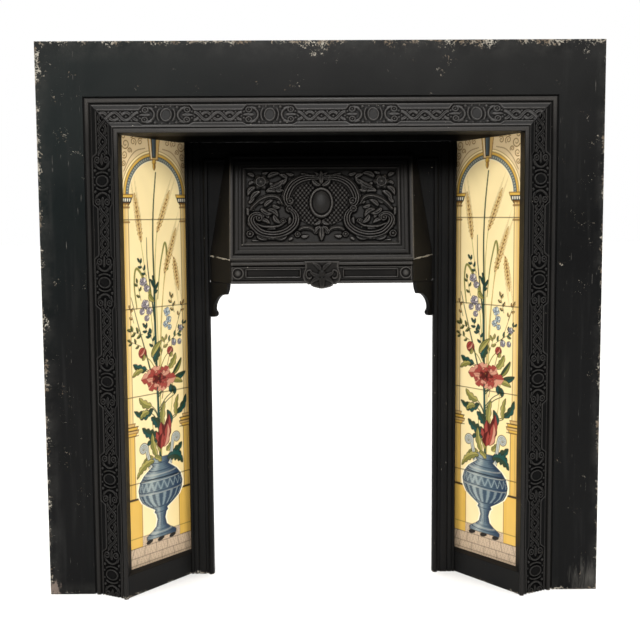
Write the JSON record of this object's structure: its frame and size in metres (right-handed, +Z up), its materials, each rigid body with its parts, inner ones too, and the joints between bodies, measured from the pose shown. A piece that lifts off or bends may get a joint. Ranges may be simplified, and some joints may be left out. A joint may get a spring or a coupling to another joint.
{
  "type": "fireplace surround",
  "caption": "Cast-iron fireplace insert: flat outer plate, strapwork frame, splayed cheeks of picture tiles, reeded arch and scrolled canopy hood; stands on the hearth and frames the fire.",
  "frame": {"origin": "centre of the footprint on the floor", "axes": "+Z up, front faces -Y, +X to the viewer's right, the wall side is +Y"},
  "size_m": [0.954, 0.1612, 0.946],
  "materials": {
    "stove_black_iron": "satin stove black, chipped to grey and white at the edges",
    "glazed_tile": "clear gloss glaze over printed and tinted cream tile"
  },
  "bodies": {
    "root": {"surround_frame": "stove_black_iron", "inner_arch": "stove_black_iron", "hood": "stove_black_iron", "hood_rail": "stove_black_iron", "tile_left_1": "glazed_tile", "tile_left_2": "glazed_tile", "tile_left_3": "glazed_tile", "tile_left_4": "glazed_tile", "tile_left_5": "glazed_tile", "tile_right_1": "glazed_tile", "tile_right_2": "glazed_tile", "tile_right_3": "glazed_tile", "tile_right_4": "glazed_tile", "tile_right_5": "glazed_tile"}
  },
  "joints": []
}
